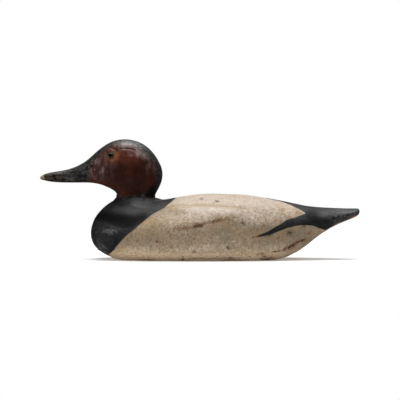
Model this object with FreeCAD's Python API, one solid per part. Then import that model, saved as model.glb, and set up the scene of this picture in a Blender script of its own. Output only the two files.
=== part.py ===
"""Floating canvasback duck decoy, carved in wood.

The body is a hollowed shell closed by a bottom board, with sealant in the seam and nails round the rim.
The head, with its bill, is one carving that sits on a raised seat, on a glued dowel and four toed nails,
with putty round the joint. Each glass eye is a clear front on a coloured back with a black pupil, held by
a wire stem and a putty bed. A lead pad is let into the bottom board, and a ring hangs from a staple in a
gouged recess under the breast, for the anchor line.

Units are millimetres. +X runs from the bill to the tail, +Y is the bird's right and +Z is up.
The origin is on the flat bottom, halfway between the tips of the bill and the tail.
"""

import FreeCAD, Part
import math
import os

from FreeCAD import Vector

PARTS_FOLDER = "parts"

# Driving dimensions of the body.
BODY_FRONT = (-143.7, 35.0)
BODY_BACK = (210.9, 63.2)
BOARD_THICKNESS = 12.5
SEAM_GAP = 0.5
SHELL_FOOT = BOARD_THICKNESS + SEAM_GAP
SEAT_HEIGHT = 83.0
CHINE_POWER = 3.4
TAIL_POWER = 2.4
TAIL_WIDE_Z = 42.0

# Body sections from breast to tail: x, keel height, back height, half width, height of the widest point,
# and the power of the upper curve (2 is an ellipse, less is more peaked). Below 0 the keel is planed flat.
BODY_STATIONS = [
    (-142.6, 26.5, 43.5, 15, 35.0, 2.0),
    (-139.5, 19.0, 52.5, 28, 35.0, 2.0),
    (-134, 12.4, 60.8, 41, 34.5, 2.0),
    (-126, 7.0, 69.0, 52, 34.0, 1.95),
    (-114, 2.0, 77.0, 62.5, 33.5, 1.85),
    (-98, -1.5, 79.8, 71, 33.0, 1.75),
    (-78, -3.2, 79.8, 77.5, 33.0, 1.75),
    (-55, -3.5, 79.0, 81.5, 33.5, 1.85),
    (-30, -3.5, 81.7, 83.5, 34.0, 2.0),
    (0, -3.5, 85.9, 84, 35.0, 2.15),
    (30, -3.5, 86.3, 82.5, 36.0, 2.2),
    (60, -3.5, 84.7, 78, 37.5, 2.15),
    (88, -1.8, 81.0, 70, 39.5, 2.05),
    (108, 1.8, 77.4, 62, 41.5, 2.0),
    (122, 6.4, 74.2, 55, 43.5, 1.95),
    (135, 14.0, 71.3, 48, 46.0, 1.9),
    (148, 24.4, 69.3, 41.5, 49.0, 1.85),
    (162, 34.8, 68.3, 35.5, 51.5, 1.9),
    (178, 44.6, 67.6, 30.5, 54.0, 2.0),
    (192, 50.6, 67.2, 27.5, 57.0, 2.1),
    (202, 54.4, 67.1, 23.5, 60.0, 2.2),
    (208, 57.4, 67.0, 17.5, 62.0, 2.2),
    (210.3, 60.2, 66.0, 10, 63.2, 2.0),
]

# The raised seat for the neck, from inside the body up: height, front x, back x, half width.
SEAT_STATIONS = [
    (68.0, -121.0, -40.0, 37.0),
    (75.0, -115.5, -43.0, 29.5),
    (79.2, -112.4, -48.5, 25.0),
    (81.3, -110.9, -55.5, 22.4),
    (SEAT_HEIGHT, -110.0, -58.9, 21.3),
]

# The hollow inside the shell: x, height of its roof, half width where it meets the board.
HOLLOW_STATIONS = [
    (-78, 26, 20),
    (-74, 38, 36),
    (-62, 50, 51),
    (-40, 59, 61),
    (-10, 67, 66),
    (30, 70, 65),
    (65, 67, 57),
    (90, 60, 44),
    (107, 49, 29),
    (114, 37, 17),
]
HOLLOW_POWER = 2.6

# Head sections, fanned from the flat neck base round the throat to the bill: throat-side x and z,
# crown-side x and z, half width, share of the way up to the widest point, powers of the two curves.
HEAD_STATIONS = [
    (-110.0, SEAT_HEIGHT, -58.9, SEAT_HEIGHT, 21.3, 0.50, 2.0, 2.0),
    (-109.8, 86.8, -57.6, 88.0, 21.9, 0.50, 2.0, 2.0),
    (-113.0, 90.6, -51.6, 100.0, 24.0, 0.50, 2.0, 2.1),
    (-118.0, 93.6, -49.9, 116.0, 25.4, 0.48, 2.0, 2.15),
    (-122.5, 95.7, -57.6, 133.6, 25.8, 0.46, 2.0, 2.1),
    (-127.0, 97.6, -72.4, 149.8, 25.2, 0.46, 2.0, 2.0),
    (-131.5, 99.1, -93.0, 157.3, 23.6, 0.46, 2.0, 1.9),
    (-136.0, 100.1, -112.0, 155.8, 21.3, 0.46, 2.05, 1.9),
    (-141.0, 100.8, -126.5, 148.6, 18.6, 0.46, 2.1, 1.9),
    (-146.5, 101.0, -138.0, 139.4, 16.0, 0.45, 2.2, 1.9),
    (-153.0, 101.0, -149.0, 130.3, 13.6, 0.44, 2.3, 1.95),
    (-162.0, 101.0, -161.0, 123.1, 11.6, 0.44, 2.4, 2.0),
    (-174.0, 101.0, -174.0, 118.3, 10.4, 0.44, 2.5, 2.1),
    (-187.0, 101.3, -187.0, 115.8, 10.2, 0.44, 2.5, 2.3),
    (-198.0, 102.4, -198.0, 114.0, 9.8, 0.46, 2.5, 2.4),
    (-205.5, 103.8, -205.5, 111.8, 7.9, 0.48, 2.4, 2.3),
    (-209.6, 105.2, -209.6, 109.3, 4.4, 0.50, 2.0, 2.0),
]
BILL_TIP = (-210.9, 107.0)
SECTION_POINTS = 24

# The neck joint.
DOWEL_RADIUS = 6.0
DOWEL_X = -84.0
DOWEL_BOTTOM = 61.0
DOWEL_TOP = 107.0
PUTTY_HALF_HEIGHT = 1.6
PUTTY_DEPTH = 2.2
PUTTY_SWELL = 0.35
NECK_NAIL_PLACES = (-99.0, -69.0)
NECK_NAIL_TOP = Vector(0, 17.5, 95.0)
NECK_NAIL_SLOPE = Vector(0, -0.42, -1.0)
NECK_NAIL_LENGTH = 30.0

# Fasteners.
NAIL_RADIUS = 0.9
NAIL_HEAD_RADIUS = 1.9
NAIL_HEAD_THICKNESS = 0.8
NAIL_POINT_LENGTH = 3.0
BOARD_NAIL_TOP = 32.0
BOARD_NAIL_SET = 0.5
BOARD_NAIL_SINK = 0.095
BOARD_NAILS = [(-113, 25), (-66, 67), (-22, 71.5), (22, 71), (64, 64), (98, 47), (118, 15)]

# The eyes: a point inside the head on the left eye's axis, and the axis pointing out.
EYE_ROOT = Vector(-112.6, 0, 136.0)
EYE_AXIS = Vector(-0.25, -1.0, 0.06)
EYE_RADIUS = 4.6
PUPIL_RADIUS = 2.1
PUPIL_DEPTH = 0.9
EYE_BED_RADIUS = 6.2
EYE_BED_DEPTH = 2.4
EYE_BED_EDGE = -0.3
EYE_LIP_WIDTH = 0.5
EYE_LIP_HEIGHT = 0.9
IRIS_FRONT = -0.9
IRIS_BACK = -4.2
DOME_HEIGHT = 1.9
DOME_FOOT = 0.3
STEM_RADIUS = 0.6
STEM_END = -15.0

# The lead pad in the bottom board.
PAD_CENTRE_X = 12.0
PAD_LENGTH = 96.0
PAD_WIDTH = 38.0
PAD_THICKNESS = 5.2
PAD_CORNER = 6.0
PAD_INSET = 0.4
PAD_GAP = 0.4
SCREW_SPACING = 62.0
SCREW_RADIUS = 1.9
SCREW_HEAD_RADIUS = 4.0
SCREW_HEAD_DEPTH = 2.6
SCREW_TIP = 11.6
SLOT_WIDTH = 1.0
SLOT_DEPTH = 1.0
SLOT_TURNS = (25.0, -50.0)

# The ring and staple for the anchor line.
STAPLE_X = -90.0
STAPLE_RADIUS = 1.2
STAPLE_HALF_SPAN = 3.4
STAPLE_BEND_Z = 5.1
STAPLE_TOP = 31.0
STAPLE_POINT = 4.0
STAPLE_TIP_RADIUS = 0.2
RING_RADIUS = 9.0
RING_WIRE = 1.4
RING_PIVOT_Z = 4.6
FLOOR_CLEARANCE = 0.05
RING_DROOP = math.asin((RING_PIVOT_Z - RING_WIRE - FLOOR_CLEARANCE) / (2 * RING_RADIUS))
RECESS_RADIUS = 12.6
RECESS_DEPTH = 8.6
RECESS_ENDS = (STAPLE_X + 4.0, STAPLE_X + 8.5)
RECESS_FILLET = 3.0

UP = Vector(0, 0, 1)
FAR = 600.0

# How far past a surface the solid that cuts it starts.
CUT_REACH = 6.0


def ring(low, high, half_width, split=0.5, low_power=2.0, high_power=2.0):
    """Points round a smooth section about y = 0. low and high are the (x, z) ends of its mid-line, and it
    is widest at split of the way from low to high. Each half follows a superellipse of its own power."""
    points = []
    for k in range(SECTION_POINTS):
        angle = 2 * math.pi * k / SECTION_POINTS
        across, along = math.sin(angle), -math.cos(angle)
        power, reach = (low_power, split) if along < 0 else (high_power, 1 - split)
        size = (abs(across) ** power + abs(along) ** power) ** (-1 / power)
        t = split + reach * along * size
        x = low[0] + t * (high[0] - low[0])
        z = low[1] + t * (high[1] - low[1])
        points.append(Vector(x, half_width * across * size, z))
    return points


def upright_ring(x, low_z, high_z, half_width, wide_z, low_power, high_power):
    split = (wide_z - low_z) / (high_z - low_z)
    return ring((x, low_z), (x, high_z), half_width, split, low_power, high_power)


def level_ring(z, front, back, half_width):
    return ring((front, z), (back, z), half_width)


def tip(place):
    """A ring drawn in to one (x, z) place on the centre plane, which ends a skin in a rounded tip."""
    return [Vector(place[0], 0, place[1])] * SECTION_POINTS


def is_tip(points):
    return (points[0] - points[SECTION_POINTS // 2]).Length < 1e-6


def closed_curve(points):
    curve = Part.BSplineCurve()
    parameters = [k / SECTION_POINTS for k in range(SECTION_POINTS + 1)]
    curve.interpolate(Points=points, PeriodicFlag=True, Parameters=parameters)
    return curve


def lengthwise(rings):
    """Share of the way along a skin that each ring sits at, by the roots of the distances between them."""
    reached = [0.0]
    for here, there in zip(rings, rings[1:]):
        step = sum((p - q).Length for p, q in zip(here, there)) / SECTION_POINTS
        reached.append(reached[-1] + math.sqrt(step))
    return [r / reached[-1] for r in reached]


def skin_surface(rings):
    """One smooth surface through the rings, closed round them."""
    pattern = closed_curve(next(r for r in rings if not is_tip(r)))
    rows = [r + r[:1] if is_tip(r) else closed_curve(r).getPoles() for r in rings]
    along = lengthwise(rings)
    columns = []
    for column in zip(*rows):
        curve = Part.BSplineCurve()
        curve.interpolate(Points=list(column), Parameters=along)
        columns.append(curve)
    poles = [list(row) for row in zip(*(c.getPoles() for c in columns))]
    first = columns[0]
    surface = Part.BSplineSurface()
    surface.buildFromPolesMultsKnots(
        poles,
        first.getMultiplicities(),
        pattern.getMultiplicities(),
        first.getKnots(),
        pattern.getKnots(),
        False,
        True,
        3,
        3,
    )
    surface.setVNotPeriodic()
    return surface


def skin(rings):
    """Solid with a smooth surface through the rings, in two halves, and flat at an end that isn't a tip."""
    surface = skin_surface(rings)
    surface.segment(0.0, 1.0, 0.0, 0.5)
    half = surface.toShape()
    faces = [half, mirrored(half)]
    for end, points in ((0.0, rings[0]), (1.0, rings[-1])):
        if not is_tip(points):
            arc = surface.uIso(end).toShape()
            faces.append(Part.Face(Part.Wire([arc, mirrored(arc)])))
    shell = Part.makeShell(faces)
    shell.sewShape()
    solid = Part.makeSolid(shell)
    if solid.Volume < 0:
        solid.reverse()
    return solid


def ruled(rings):
    """Solid with straight walls from one ring to the next."""
    return Part.makeLoft([Part.Wire([closed_curve(r).toShape()]) for r in rings], True, True)


def slab(low_z, high_z):
    """Everything between two heights."""
    return Part.makeBox(2 * FAR, 2 * FAR, high_z - low_z, Vector(-FAR, -FAR, low_z))


def cylinder(radius, start, end, axis=UP, base=Vector(0, 0, 0)):
    """Cylinder from start to end along axis, measured from base."""
    return Part.makeCylinder(radius, end - start, base + axis * start, axis)


def mirrored(shape):
    return shape.mirror(Vector(0, 0, 0), Vector(0, 1, 0))


def farthest_hit(solid, start, direction):
    """Where a line from start leaves solid for the last time."""
    ray = Part.LineSegment(start, start + direction * FAR).toShape()
    hits = solid.common(ray).Vertexes
    return max((v.Point for v in hits), key=lambda p: (p - start).Length)


def body_form():
    """The outside of the whole body, solid, with the seat for the neck and the planed bottom."""
    rings = [
        upright_ring(x, keel, back, half, wide, CHINE_POWER if wide < TAIL_WIDE_Z else TAIL_POWER, power)
        for x, keel, back, half, wide, power in BODY_STATIONS
    ]
    hull = skin([tip(BODY_FRONT)] + rings + [tip(BODY_BACK)])
    seat = skin([level_ring(*station) for station in SEAT_STATIONS])
    return hull.fuse(seat).common(slab(0, FAR))


def hollow_form():
    """The space gouged out of the shell, closed a little below the seam."""
    rings = [
        upright_ring(x, 2 * SHELL_FOOT - roof, roof, half, SHELL_FOOT, HOLLOW_POWER, HOLLOW_POWER)
        for x, roof, half in HOLLOW_STATIONS
    ]
    return skin(rings)


def head_form():
    rings = [ring(s[0:2], s[2:4], *s[4:]) for s in HEAD_STATIONS]
    return skin(rings + [tip(BILL_TIP)])


def neck_groove(depth, swell):
    """V-shaped band round the neck joint, depth deep and standing out by swell."""
    _, front, back, half = SEAT_STATIONS[-1]
    low, high = SEAT_HEIGHT - PUTTY_HALF_HEIGHT, SEAT_HEIGHT + PUTTY_HALF_HEIGHT
    band = ruled([level_ring(z, front - swell, back + swell, half + swell) for z in (low, high)])
    waist = level_ring(SEAT_HEIGHT, front + depth, back - depth, half - depth)
    return band.cut([ruled([level_ring(z, front, back, half), waist]) for z in (low, high)])


def nail(top, direction, length):
    """Wire nail with a flat head and a point, from the top of its head along direction."""
    direction = Vector(direction).normalize()
    shank_end = length - NAIL_POINT_LENGTH
    head = Part.makeCylinder(NAIL_HEAD_RADIUS, NAIL_HEAD_THICKNESS, top, direction)
    shank = Part.makeCylinder(NAIL_RADIUS, shank_end, top, direction)
    point = Part.makeCone(NAIL_RADIUS, 0, NAIL_POINT_LENGTH, top + direction * shank_end, direction)
    return head.fuse([shank, point]).removeSplitter()


def neck_nails():
    """Four nails toed down through the neck into the body, two on each side."""
    made = []
    for x in NECK_NAIL_PLACES:
        one = nail(NECK_NAIL_TOP + Vector(x, 0, 0), NECK_NAIL_SLOPE, NECK_NAIL_LENGTH)
        made += [one, mirrored(one)]
    return made


def board_nails(form):
    """Nails driven up through the board into the rim of the shell, and the holes over their heads. A head is
    sunk deeper where the underside curves up, so that none stands proud."""
    nails, holes = [], []
    for x, y in BOARD_NAILS:
        for side in (-1, 1):
            below = Vector(x, side * y, BOARD_THICKNESS)
            surface = farthest_hit(form, below, Vector(0, 0, -1))
            top = surface + UP * (BOARD_NAIL_SET + BOARD_NAIL_SINK * surface.z)
            nails.append(nail(top, UP, BOARD_NAIL_TOP - top.z))
            holes.append(Part.makeCylinder(NAIL_HEAD_RADIUS, CUT_REACH, top - UP * CUT_REACH, UP))
    return nails, holes


def eye(surface, axis):
    """The pieces of one eye and the socket they sit in, along axis from the head's surface."""

    def turned(radius, start, end):
        return cylinder(radius, start, end, axis, surface)

    def place(out, height):
        return surface + across * out + axis * height

    across = UP.cross(axis).normalize()
    rim_height = IRIS_FRONT + DOME_FOOT
    ball = (EYE_RADIUS**2 + DOME_HEIGHT**2) / (2 * DOME_HEIGHT)
    lean = math.asin(EYE_RADIUS / ball) / 2
    halfway = place(ball * math.sin(lean), rim_height + DOME_HEIGHT - ball + ball * math.cos(lean))
    rim, crown = place(EYE_RADIUS, rim_height), place(0, rim_height + DOME_HEIGHT)
    outline = Part.Wire(
        [
            Part.makePolygon([crown, place(0, IRIS_FRONT), place(EYE_RADIUS, IRIS_FRONT), rim]),
            Part.Arc(rim, halfway, crown).toShape(),
        ]
    )
    glass = Part.Face(outline).revolve(surface, axis, 360)
    pupil = turned(PUPIL_RADIUS, IRIS_FRONT - PUPIL_DEPTH, IRIS_FRONT)
    bed_wall = turned(EYE_BED_RADIUS, -EYE_BED_DEPTH, EYE_BED_EDGE)
    bed_lip = Part.makeCone(
        EYE_BED_RADIUS, EYE_RADIUS + EYE_LIP_WIDTH, EYE_LIP_HEIGHT, place(0, EYE_BED_EDGE), axis
    )
    bore = turned(EYE_RADIUS, -EYE_BED_DEPTH - CUT_REACH, CUT_REACH)
    pieces = {
        "eye_glass": glass,
        "eye_iris": turned(EYE_RADIUS, IRIS_BACK, IRIS_FRONT).cut(pupil),
        "eye_pupil": pupil,
        "eye_stem": turned(STEM_RADIUS, STEM_END, IRIS_BACK),
        "eye_putty": bed_wall.fuse(bed_lip).cut(bore),
    }
    socket = turned(EYE_BED_RADIUS, -EYE_BED_DEPTH, CUT_REACH).fuse(
        [turned(EYE_RADIUS, IRIS_BACK, 0), turned(STEM_RADIUS, STEM_END, IRIS_BACK)]
    )
    return pieces, socket


def rounded_plate(length, width, corner, low_z, high_z):
    """Flat plate with round corners, centred on the lead pad's place."""
    plate = Part.makeBox(length, width, high_z - low_z, Vector(PAD_CENTRE_X - length / 2, -width / 2, low_z))
    corners = [e for e in plate.Edges if abs(e.tangentAt(e.FirstParameter).z) > 0.9]
    return plate.makeFillet(corner, corners)


def screw(x, turn):
    """Countersunk wood screw up from the pad's face, without its slot and with it."""
    base = Vector(x, 0, PAD_INSET)
    shank_end = SCREW_TIP - NAIL_POINT_LENGTH
    head = Part.makeCone(SCREW_HEAD_RADIUS, SCREW_RADIUS, SCREW_HEAD_DEPTH, base, UP)
    shank = Part.makeCylinder(SCREW_RADIUS, shank_end - PAD_INSET, base, UP)
    point = Part.makeCone(SCREW_RADIUS, 0, NAIL_POINT_LENGTH, Vector(x, 0, shank_end), UP)
    whole = head.fuse([shank, point]).removeSplitter()
    corner = base - Vector(SLOT_WIDTH / 2, 2 * SCREW_HEAD_RADIUS, CUT_REACH)
    slot = Part.makeBox(SLOT_WIDTH, 4 * SCREW_HEAD_RADIUS, CUT_REACH + SLOT_DEPTH, corner)
    slot.rotate(base, UP, turn)
    return whole, whole.cut(slot)


def ballast():
    """The lead pad's plate, the pocket for it, and its screws without their slots and with them."""
    top = PAD_INSET + PAD_THICKNESS
    pad = rounded_plate(PAD_LENGTH, PAD_WIDTH, PAD_CORNER, PAD_INSET, top)
    room = 2 * PAD_GAP
    pocket = rounded_plate(PAD_LENGTH + room, PAD_WIDTH + room, PAD_CORNER + PAD_GAP, -CUT_REACH, top)
    places = (PAD_CENTRE_X - SCREW_SPACING / 2, PAD_CENTRE_X + SCREW_SPACING / 2)
    whole, slotted = zip(*(screw(x, turn) for x, turn in zip(places, SLOT_TURNS)))
    return pad, pocket, list(whole), list(slotted)


def staple():
    """U of wire with pointed legs, crown down, in the centre plane."""
    left, right = (Vector(STAPLE_X + k * STAPLE_HALF_SPAN, 0, STAPLE_BEND_Z) for k in (-1, 1))
    crown = Vector(STAPLE_X, 0, STAPLE_BEND_Z - STAPLE_HALF_SPAN)
    rise = UP * (STAPLE_TOP - STAPLE_BEND_Z)
    path = Part.Wire(
        [
            Part.LineSegment(left + rise, left).toShape(),
            Part.Arc(left, crown, right).toShape(),
            Part.LineSegment(right, right + rise).toShape(),
        ]
    )
    profile = Part.Wire([Part.Circle(left + rise, Vector(0, 0, -1), STAPLE_RADIUS).toShape()])
    points = [
        Part.makeCone(STAPLE_RADIUS, STAPLE_TIP_RADIUS, STAPLE_POINT, leg + rise, UP) for leg in (left, right)
    ]
    return path.makePipeShell([profile], True, True).fuse(points)


def line_ring():
    """Ring through the staple, lying back with its far side just clear of what the decoy stands on."""
    pivot = Vector(STAPLE_X, 0, RING_PIVOT_Z)
    reach = Vector(math.cos(RING_DROOP), 0, -math.sin(RING_DROOP))
    normal = Vector(math.sin(RING_DROOP), 0, math.cos(RING_DROOP))
    return Part.makeTorus(RING_RADIUS, RING_WIRE, pivot + reach * RING_RADIUS, normal)


def recess():
    """Gouged pocket round the ring, open below, with a rounded roof edge."""
    front, back = RECESS_ENDS
    rise = RECESS_DEPTH + CUT_REACH
    corner = Vector(front, -RECESS_RADIUS, -CUT_REACH)
    ends = [cylinder(RECESS_RADIUS, -CUT_REACH, RECESS_DEPTH, UP, Vector(x, 0, 0)) for x in RECESS_ENDS]
    middle = Part.makeBox(back - front, 2 * RECESS_RADIUS, rise, corner)
    pocket = middle.fuse(ends).removeSplitter()
    roof = [e for e in pocket.Edges if abs(e.BoundBox.ZMin - RECESS_DEPTH) < 0.01]
    return pocket.makeFillet(RECESS_FILLET, roof)


def build():
    """Every piece of the decoy, as node name to shape."""
    form = body_form()
    hollow = hollow_form()
    toed = neck_nails()
    driven, nail_holes = board_nails(form)
    pad, pocket, screw_holes, screws = ballast()
    line_staple = staple()
    dowel = cylinder(DOWEL_RADIUS, DOWEL_BOTTOM, DOWEL_TOP, UP, Vector(DOWEL_X, 0, 0))
    groove = neck_groove(PUTTY_DEPTH, CUT_REACH)
    putty = neck_groove(PUTTY_DEPTH, PUTTY_SWELL)

    shell_cuts = [hollow, groove, dowel, line_staple] + toed + driven
    board_cuts = [pocket, recess(), line_staple] + screw_holes + driven + nail_holes
    parts = {
        "body_shell": form.common(slab(SHELL_FOOT, FAR)).cut(shell_cuts),
        "bottom_board": form.common(slab(0, BOARD_THICKNESS)).cut(board_cuts),
        "seam_sealant": form.common(slab(BOARD_THICKNESS, SHELL_FOOT)).cut([hollow, line_staple] + driven),
        "board_nails": Part.makeCompound(driven),
        "neck_dowel": dowel,
        "neck_nails": Part.makeCompound(toed),
        "neck_putty": putty,
        "ballast_pad": pad.cut(screw_holes),
        "ballast_screws": Part.makeCompound(screws),
        "line_staple": line_staple,
        "line_ring": line_ring(),
    }

    head = head_form()
    axis = Vector(EYE_AXIS).normalize()
    pieces, socket = eye(farthest_hit(head, EYE_ROOT, axis), axis)
    for name, shape in pieces.items():
        parts[name + "_left"] = shape
        parts[name + "_right"] = mirrored(shape)
    parts["head"] = head.cut([groove, dowel, socket, mirrored(socket)] + toed)
    return parts


def main():
    os.makedirs(PARTS_FOLDER, exist_ok=True)
    for name, shape in sorted(build().items()):
        shape.exportStep(os.path.join(PARTS_FOLDER, name + ".step"))
        box = shape.BoundBox
        print(f"{name}: {len(shape.Solids)} solids, valid {shape.isValid()}, {shape.Volume / 1000:.2f} cm3,"
              f" z {box.ZMin:.2f} to {box.ZMax:.2f}, x {box.XMin:.2f} to {box.XMax:.2f}")


main()
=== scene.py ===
"""Looks of a floating canvasback decoy: aged and worn paint over carved wood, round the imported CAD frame.

Lengths and places are millimetres in the CAD's frame, +X to the tail and +Z up. MM turns them into metres.
Outlines, lines and patches are (x, z) places seen from the side, unless they say otherwise. "near" is the
bird's left side, at -Y, and "far" its right.
"""

import math

import bpy
import numpy as np
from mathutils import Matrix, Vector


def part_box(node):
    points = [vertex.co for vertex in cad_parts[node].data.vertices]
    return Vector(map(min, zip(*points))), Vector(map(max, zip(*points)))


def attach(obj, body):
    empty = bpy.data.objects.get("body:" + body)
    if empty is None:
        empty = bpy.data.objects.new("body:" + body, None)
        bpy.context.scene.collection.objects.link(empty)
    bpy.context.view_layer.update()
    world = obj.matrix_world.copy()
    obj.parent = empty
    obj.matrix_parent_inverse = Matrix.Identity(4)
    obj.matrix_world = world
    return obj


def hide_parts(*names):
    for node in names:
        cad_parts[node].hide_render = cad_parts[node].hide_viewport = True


MM = 0.001

# The even meshes: the size of their faces, and how often each is smoothed.
SHELL_VOXEL, SHELL_PASSES = 1.5, 16
BOARD_VOXEL, BOARD_PASSES = 1.0, 12
HEAD_VOXEL, HEAD_PASSES = 0.62, 14

# Carving on the body.
CHEST_HOLLOW = [(-139, 60), (-126, 56), (-110, 52), (-92, 50), (-76, 56)]
CHEST_SWELL = [(-138, 42), (-124, 43), (-108, 38), (-98, 30)]
WING_GROOVE = [
    (-56, 63.6), (-43, 69.2), (-30, 71.4), (0, 72), (20, 71.6), (42, 70), (62, 67.2), (76, 63.8),
]
TAIL_KEEL = [(146, 24), (158, 33.6), (169, 39.8), (180, 46), (191, 50.8), (206, 58), (210.6, 62.6)]

# Edges of the paint on the body. The rump's top edge is (x, y) places seen from above, with y counted out
# from the middle line on both sides, and it holds from RUMP_TOP_FROM up.
BREAST_EDGE = [
    (-28.5, 90), (-31, 82), (-36.5, 77), (-43.5, 71), (-51, 66.3), (-62.5, 59.6), (-74, 50.4), (-86, 39.9),
    (-96.6, 31.6), (-104.8, 22.2), (-112, 13.6), (-119, 7.2), (-126, 0),
]
LEAF_FOOT = [
    (132, 59), (124.9, 56.7), (114.3, 53.6), (107.3, 49.5), (100.3, 45.7), (93.2, 41.9), (88, 38.6),
    (81, 35.4), (75, 33.2), (67.5, 31.2),
]
RUMP_FOOT = [
    (74.5, 31.2), (80.5, 32), (86, 33.4), (92, 34.8), (98, 37.2), (104, 39.6), (113, 42.6), (125, 45.2),
    (133, 46.2), (141, 46.2), (148, 44.8), (157, 41.6), (168, 38),
]
RUMP_TOP = [
    (88, -10), (84.5, -5), (83.5, 0), (84.5, 5), (88, 10), (94, 12.5), (101, 14), (107, 16), (112.5, 19),
    (119, 23.4), (126, 28.4), (132, 32), (138, 36),
]
RUMP_TOP_FROM = 50

# Places clear of the body, or inside the painted area, that close those outlines.
AHEAD = [(-200, -10), (-200, 110)]
RUMP_INSIDE = [(138, 110), (138, 61.2)]
BEHIND = [(230, 20), (230, 110)]
BEHIND_FROM_ABOVE = [(160, 40), (160, -10)]

# How dirty the side of the body is at each height, with painted shade in it: (z, share).
GRIME_AND_SHADE = [
    (0, 0.0), (8, 0.14), (14, 0.42), (20, 0.66), (26, 0.82), (32, 0.9), (38, 0.86), (44, 0.74), (50, 0.57),
    (56, 0.41), (62, 0.26), (68, 0.13), (74, 0.03), (80, 0.0),
]

# Edges of the paint on the head, and its carving.
FACE_EDGE = [
    (-152, 96), (-148, 101.5), (-145, 107), (-146, 113.6), (-145.2, 119), (-141.6, 126.4), (-136.5, 132.6),
    (-129.4, 140), (-121.6, 146.6), (-112, 150.6), (-101, 152), (-90, 150.4), (-81, 145.6), (-72, 138.6),
    (-63.4, 130), (-58.8, 121), (-57.2, 110), (-59, 100.6), (-64.4, 93.6), (-72, 88), (-82, 86), (-90, 84.6),
    (-98, 82.6), (-106, 82.8), (-113, 85), (-120, 84), (-135, 90),
]
BROW = [
    (-109, 143.8), (-104.5, 146), (-97, 146.4), (-90, 145.9), (-85.6, 143.8), (-81.6, 140.4), (-78, 136.6),
]
# The line of haze on the crown, which also paints its highlight.
HAZE_HIGHLIGHT_LINE = [(-104, 149), (-97, 149.8), (-91, 149.4), (-87, 147.6), (-82, 143.2), (-76.5, 137.6)]
MOUTH = [(-208.5, 105.4), (-203, 103.9), (-190, 103.2), (-175, 103.1), (-160, 103.3), (-150, 104.4)]
JAW = [(-150, 105), (-137, 103), (-124, 99.6), (-111, 94.4), (-102, 88)]
NOSTRIL = (-141.8, 122.6)
EYE = (-117.4, 137.2)


# Numbers on points: all take and give arrays, in millimetres.


def curve_through(points, steps=8):
    """The same points with a smooth curve drawn between them."""
    p = np.array([points[0]] + list(points) + [points[-1]], float)
    t = np.linspace(0, 1, steps, endpoint=False)[:, None]
    spans = []
    for a, b, c, d in zip(p, p[1:], p[2:], p[3:]):
        square = a - 2.5 * b + 2 * c - d / 2
        cube = (d - a) / 2 + (b - c) * 1.5
        spans.append(b + (c - a) * t / 2 + square * t**2 + cube * t**3)
    return np.vstack(spans + [p[-1:]])


def line_distance(places, line):
    """Distance from each (x, z) place to a line, and how far along the line its nearest point is, 0 to 1."""
    best = np.full(len(places), 1e9)
    along = np.zeros(len(places))
    run = np.concatenate([[0], np.cumsum(np.linalg.norm(np.diff(line, axis=0), axis=1))])
    for k, (a, b) in enumerate(zip(line, line[1:])):
        span = b - a
        t = np.clip((places - a) @ span / (span @ span), 0, 1)
        gap = np.linalg.norm(places - a - t[:, None] * span, axis=1)
        closer = gap < best
        best = np.where(closer, gap, best)
        along = np.where(closer, (run[k] + t * (run[k + 1] - run[k])) / run[-1], along)
    return best, along


def inside(places, outline):
    """True for each (x, z) place that a closed outline holds."""
    held = np.zeros(len(places), bool)
    x, z = places.T
    for (ax, az), (bx, bz) in zip(outline, np.roll(outline, -1, axis=0)):
        if az != bz:
            held ^= ((az > z) != (bz > z)) & (x < ax + (z - az) * (bx - ax) / (bz - az))
    return held


def paint_edge(points, normals, outline, axes=(0, 2)):
    """Distance over the surface from the edge of a painted area, below 0 inside it. The outline is seen flat,
    along two axes, so a distance across it is longer on a surface that leans away."""
    places = points[:, axes]
    closed = np.vstack([outline, outline[:1]])
    gap, _ = line_distance(places, closed)
    step = 0.5
    ahead = [line_distance(places + np.array(move) * step, closed)[0] - gap for move in ((1, 0), (0, 1))]
    across = np.zeros(points.shape)
    across[:, axes] = np.transpose(ahead)
    across /= np.maximum(np.linalg.norm(across, axis=1, keepdims=True), 1e-6)
    lean = np.sqrt(np.clip(1 - (across * normals).sum(1) ** 2, 0.03, 1))
    return np.where(inside(places, outline), -gap, gap) / lean


def blobs(points, size, seed):
    """Smooth noise from -1 to 1 in blobs about size across. size may differ by axis."""
    p = points / np.array(size) + seed * 7.31
    cell = np.floor(p)
    part = p - cell
    part = part * part * (3 - 2 * part)
    total = np.zeros(len(p))
    for corner in np.ndindex(2, 2, 2):
        mixed = (cell + corner) @ np.array([127.1, 311.7, 74.7]) + seed * 13.7
        value = np.sin(mixed) * 43758.5453
        weight = np.prod(np.where(np.array(corner) == 1, part, 1 - part), axis=1)
        total += weight * (value - np.floor(value))
    return total * 2 - 1


def rough(points, size, seed, octaves=3):
    """blobs at size, half of it and so on, each half as strong."""
    return sum(blobs(points, np.array(size) / 2**k, seed + k) / 2**k for k in range(octaves))


def bump(gap, width):
    """1 where gap is 0, falling smoothly to 0 a couple of widths away."""
    return np.exp(-((gap / width) ** 2))


def ease(value, low, high):
    """0 at low, 1 at high and smooth between."""
    t = np.clip((value - low) / (high - low), 0, 1)
    return t * t * (3 - 2 * t)


def fade(along, start, end):
    """1 between two shares of the way along a line, falling to 0 at its ends."""
    return ease(along, 0, start) * ease(along, 1, end)


def beside(points, line):
    """Distance from a line seen from the side, below 0 where a point is lower than it, and how far along."""
    curve = curve_through(line)
    gap, along = line_distance(points[:, [0, 2]], curve)
    return gap * np.where(points[:, 2] > np.interp(points[:, 0], *curve.T), 1, -1), along


def line_gap(points, line):
    """Distance from a line seen from the side."""
    return line_distance(points[:, [0, 2]], curve_through(line))[0]


def either_side(points, near, far):
    return np.where(points[:, 1] < 0, near, far)


def spots(points, places):
    """Near 1 in the middle of each (x, z, radius) spot, with a ragged edge."""
    x, _, z = points.T
    ragged = 1 + 0.45 * blobs(points, 2.2, 23)
    found = [bump(np.hypot((x - sx) / 1.5, z - sz) * ragged, radius) for sx, sz, radius in places]
    return np.max(found, axis=0)


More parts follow.
